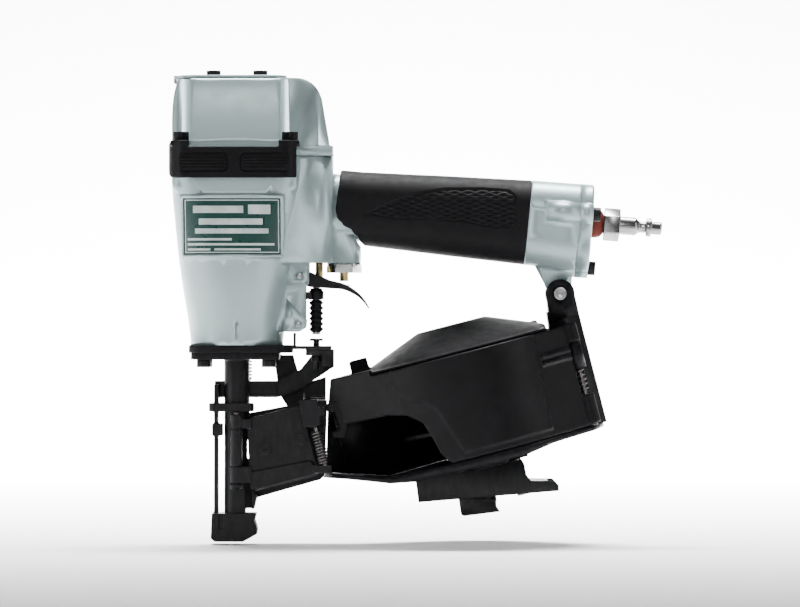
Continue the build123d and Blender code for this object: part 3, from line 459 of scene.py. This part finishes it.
def lathe(name, profile, centre, sides):
    """Turned piece about Z from points of (radius, height)."""
    axis, sharp_angle = Vector((0, 0, 1)), 35
    side = axis.orthogonal().normalized()
    other = axis.cross(side)
    centre = Vector(centre)
    verts, rows = [], []
    for radius, along in profile:
        row = []
        for k in range(sides):
            turn = 2 * math.pi * k / sides
            row.append(len(verts))
            verts.append(centre + axis * along + radius * (math.cos(turn) * side + math.sin(turn) * other))
        rows.append(row)
    piece = mesh_from(name, verts, ring_skin(rows))
    fix_normals(piece)
    smooth_shade(piece.data, sharp_angle)
    return piece


# ---- Grip ----------------------------------------------------------------------------------------

HANDLE = (  # station, middle height, width and height in millimetres
    (56, 200.6, 42, 45),
    (75.5, 199.3, 41, 44),
    (125, 195.1, 40, 47.8),
    (177, 190.7, 42, 51),
)
HANDLE_CORNER = 17.0


def handle_section(x):
    """Middle height, half width and half height of the handle at a station, in millimetres."""
    for (x0, *first), (x1, *second) in zip(HANDLE, HANDLE[1:]):
        if x <= x1:
            break
    part = (x - x0) / (x1 - x0)
    middle, width, height = (a + (b - a) * part for a, b in zip(first, second))
    return middle, width / 2, height / 2


def section_radius(half_y, half_z, angle):
    """Distance from the middle to a rounded rectangle's edge, along an angle from the far side."""
    cos, sin = math.cos(angle), math.sin(angle)
    low, high = 0.0, half_y + half_z
    for _ in range(26):
        reach = (low + high) / 2
        over_y = max(abs(cos) * reach - half_y + HANDLE_CORNER, 0)
        over_z = max(abs(sin) * reach - half_z + HANDLE_CORNER, 0)
        inside = math.hypot(over_y, over_z) < HANDLE_CORNER
        low, high = (reach, high) if inside else (low, reach)
    return low


def smooth_step(value, low, high):
    part = min(max((value - low) / (high - low), 0), 1)
    return part * part * (3 - 2 * part)


def grip_front(z):
    """Where the grip's front edge lies at a height."""
    edge = (
        (170, 77.5), (176, 76.5), (181, 73.0), (185.8, 69.0), (189, 63.5),
        (193, 60.3), (198, 59.5), (206, 60.3), (215, 61.6), (230, 63.0),
    )
    if z <= edge[0][0]:
        return edge[0][1]
    for (z0, x0), (z1, x1) in zip(edge, edge[1:]):
        if z <= z1:
            return x0 + (x1 - x0) * smooth_step(z, z0, z1)
    return edge[-1][1]


PANEL_TOP = (
    (76.6, 195.6), (86, 200.5), (96, 205), (110, 209.3),
    (125, 211.6), (147, 211.8), (163, 210.6), (168, 206),
)
PANEL_BOTTOM = (
    (76.6, 195.4), (97, 192.2), (120, 191.6), (136, 190.8),
    (148, 188.2), (157, 187), (164, 187.6), (168, 192),
)


def along(curve, x):
    """Height of a curve, given as points of (x, z), at a station."""
    for (x0, z0), (x1, z1) in zip(curve, curve[1:]):
        if x <= x1:
            return z0 + (z1 - z0) * max(x - x0, 0) / (x1 - x0)
    return curve[-1][1]


def grip_relief(x, z, side_on):
    """Depth change of the grip's skin: a sunk leaf-shaped panel filled with a lattice of small ridges."""
    if side_on < 0.5 or not PANEL_TOP[0][0] < x < PANEL_TOP[-1][0]:
        return 0.0
    rim, ridge_start, ridge_height, panel_depth = 0.8, 2.0, 0.55, 0.8
    pitch_up, pitch_along, start = 3.0, 8.4, 196
    front, back = PANEL_TOP[0][0], PANEL_TOP[-1][0]
    inside = min(along(PANEL_TOP, x) - z, z - along(PANEL_BOTTOM, x), (x - front) * 0.5, back - x)
    edge = smooth_step(inside, 0.0, rim)
    first = math.sin(2 * math.pi * ((z - start) / pitch_up + x / pitch_along))
    second = math.sin(2 * math.pi * ((z - start) / pitch_up - x / pitch_along))
    lattice = max(first, second)
    return edge * (ridge_height * lattice * smooth_step(inside, rim, ridge_start) - panel_depth)


def grip_piece(materials):
    """Moulded rubber sleeve with a rolled front lip and a textured panel on each side."""
    stations, around = 260, 360
    verts, rows = [], []
    lip = ((-2.3, 0.0), (-0.9, 0.05), (-0.25, 0.35))  # sink and forward step in millimetres
    length, back_top, back_bottom = 110, 176.9, 171.8

    def add_row(station, sink, relief):
        row = []
        for k in range(around):
            angle = 2 * math.pi * k / around
            middle, half_y, half_z = handle_section(70)
            z = middle + section_radius(half_y, half_z, angle) * math.sin(angle)
            front = grip_front(z)
            back = back_bottom + (back_top - back_bottom) * min(max((z - 165) / 52, 0), 1)
            x = front + (back - front) * station
            middle, half_y, half_z = handle_section(x)
            reach = section_radius(half_y, half_z, angle) + sink
            z = middle + reach * math.sin(angle)
            if relief:
                reach += grip_relief(x, z, abs(math.cos(angle)))
            row.append(len(verts))
            verts.append(Vector((x, reach * math.cos(angle), middle + reach * math.sin(angle))) * MM)
        rows.append(row)

    for sink, forward in lip:
        add_row(forward / length, sink, False)
    for i in range(stations + 1):
        add_row(0.01 + 0.983 * i / stations, 0.0, True)
    for sink, forward in reversed(lip):
        add_row(1 - forward / length, sink, False)
    faces = ring_skin(rows, closed_ends=False)
    last, first = rows[-1], rows[0]
    faces += list(zip(last, last[1:] + last[:1], first[1:] + first[:1], first))
    piece = mesh_from("grip_sleeve", verts, faces)
    fix_normals(piece)
    smooth_shade(piece.data)
    return adopt(piece, "grip", materials)


# ---- Springs and boot ----------------------------------------------------------------------------


def boot_piece(materials):
    """Rubber bellows turned about Z, filling the boot's box."""
    low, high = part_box("boot")
    centre = ((low.x + high.x) / 2, (low.y + high.y) / 2, 0)
    height, folds, points = high.z - low.z, 6, 96
    bore, mean_radius, fold_depth = 2.35, 3.75, 0.5
    profile = [(bore * MM, low.z)]
    for i in range(points + 1):
        part = i / points
        wave = math.cos(2 * math.pi * folds * part)
        radius = mean_radius - fold_depth * math.copysign(abs(wave) ** 0.6, wave)
        profile.append((radius * MM, low.z + height * (0.01 + 0.98 * part)))
    profile.append((bore * MM, high.z))
    piece = lathe("boot_bellows", profile, centre, sides=48)
    adopt(piece, "boot", materials)
    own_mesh(piece)


def upright_spring(node, materials, wire_mm, turns):
    """Spring along Z, filling the node's box."""
    low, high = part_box(node)
    centre = ((low.x + high.x) / 2, (low.y + high.y) / 2)
    radius = (high.x - low.x) / 2
    piece = spring(node + "_coil", radius, wire_mm * MM, (*centre, low.z), (*centre, high.z), turns, 0.8)
    adopt(piece, node, materials)
    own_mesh(piece)


def latch_spring_piece(materials):
    """Slanting spring laid along the latch's slide axis."""
    low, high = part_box("latch_spring")
    axis = next(Vector(j["axis"]) for j in frame["joints"] if j["name"] == "latch_slide")
    middle = (low + high) / 2
    radius, wire, end_gap, turns = 3.5 * MM, 0.65 * MM, 1.5 * MM, 9.5
    length = (high.z - low.z) / abs(axis.z) - end_gap
    start, end = middle - axis * length / 2, middle + axis * length / 2
    piece = spring("latch_spring_coil", radius, wire, start, end, turns)
    adopt(piece, "latch_spring", materials)
    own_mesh(piece)


# ---- Stage ---------------------------------------------------------------------------------------

def make_stage():
    """Pale floor that curves up into a backdrop."""
    bm = bmesh.new()
    steps, radius, back, front, half_width, top, floor_height = 16, 0.6, 3.4, -4.6, 4.5, 3.5, -0.002
    profile = [(front, floor_height)]
    for step in range(steps + 1):
        angle = math.pi / 2 * step / steps
        profile.append((back + radius * math.sin(angle), floor_height + radius * (1 - math.cos(angle))))
    profile.append((back + radius, top))
    rows = [[bm.verts.new((x, y, z)) for x in (-half_width, half_width)] for y, z in profile]
    for low, high in zip(rows, rows[1:]):
        bm.faces.new((low[0], low[1], high[1], high[0]))
    mesh = bpy.data.meshes.new("backdrop")
    bm.to_mesh(mesh)
    bm.free()
    smooth_shade(mesh)
    floor = new_object("backdrop", mesh)
    shader = Shader("backdrop_paper", PAPER, roughness=0.9, specular=0.1)
    tone = shader.span(shader.noise(40.0, 2.0), 0.3, 0.7, 0.0, 1.0)
    shader.colour(shader.mix(tone, PAPER, (0.95, 0.95, 0.95)))
    mesh.materials.append(shader.material)


def area_light(name, location, target, size, power, size_y=None):
    """Area light that faces a target; power in watts, sizes in metres."""
    data = bpy.data.lights.new(name, "AREA")
    data.energy = power
    data.size = size
    if size_y:
        data.shape = "RECTANGLE"
        data.size_y = size_y
    light = bpy.data.objects.new(name, data)
    light.location = location
    light.rotation_euler = (Vector(target) - Vector(location)).to_track_quat("-Z", "Y").to_euler()
    bpy.context.scene.collection.objects.link(light)
    return data


def make_lights():
    area_light("front_strip", (0.02, -3.4, 1.5), MIDDLE, 0.5, 34, 1.5)
    area_light("left_box", (-1.5, -0.7, 0.5), MIDDLE, 0.5, 14, 1.3)
    area_light("right_box", (1.5, -0.6, 0.45), MIDDLE, 0.4, 8, 1.3)
    area_light("top", (0.1, -0.1, 1.6), MIDDLE, 1.1, 5)
    glow = area_light("backdrop_glow", (0.1, 1.6, 3.3), (0.1, 2.5, 0), 2.4, 900)
    glow.spread = math.radians(84)
    world = bpy.data.worlds.new("studio")
    bpy.context.scene.world = world
    world.use_nodes = True
    world.node_tree.nodes["Background"].inputs[0].default_value = (1, 1, 1, 1)
    world.node_tree.nodes["Background"].inputs[1].default_value = 0.07


def make_camera():
    """Looks straight along +Y at the tool's near side."""
    aim = (0.0978, 0.1425)
    distance, view_width, sensor = 3.0, 0.48, 36.0
    data = bpy.data.cameras.new("camera")
    data.sensor_width = sensor
    data.lens = sensor * distance / view_width
    camera = bpy.data.objects.new("camera", data)
    camera.location = (aim[0], -distance, aim[1])
    camera.rotation_euler = (math.pi / 2, 0, 0)
    bpy.context.scene.collection.objects.link(camera)
    bpy.context.scene.camera = camera


# ---- Build ---------------------------------------------------------------------------------------

ROUNDED_IN_SHADING = {  # their materials round the edges, so they get no bevel
    "body_housing", "top_cap", "rear_cap", "exhaust_cover", "magazine_shell", "magazine_base",
}
BEVEL_MM = 0.35
UPRIGHT_SPRINGS = (  # node, joint, wire radius in millimetres, turns
    ("contact_arm_spring", "contact_arm_slide", 0.5, 5),
    ("head_valve_spring", "head_valve_lift", 1.2, 2),
    ("valve_spring", "valve_plunger_slide", 0.5, 4),
)
CASTINGS = (  # node, voxel in millimetres, smoothing passes
    ("guard", 0.5, 3),
    ("trigger", 0.35, 3),
    ("magazine_cover", 0.6, 9),
    ("magazine_lid", 0.75, 8),
    ("nose", 0.5, 2),
    ("contact_arm", 0.4, 3),
    ("feed_door", 0.4, 2),
    ("latch_block", 0.35, 3),
)

materials = make_materials()
make_camera()
make_lights()
make_stage()

grip_piece(materials)
boot_piece(materials)
for node, joint, wire_mm, turns in UPRIGHT_SPRINGS:
    upright_spring(node, materials, wire_mm, turns)
latch_spring_piece(materials)

replaced = {"grip", "boot", "latch_spring"} | {row[0] for row in UPRIGHT_SPRINGS}

for node, voxel, passes in CASTINGS:
    cast(node, materials, voxel, passes)
    replaced.add(node)
matt_nylon = moulded("matt_nylon", NYLON, rough=(0.5, 0.62), specular=0.03)
bpy.data.objects["magazine_lid_cast"].data.materials[0] = matt_nylon

for node in sorted(set(NODES) - replaced):
    dress(node, materials, 0 if node in ROUNDED_IN_SHADING else BEVEL_MM)
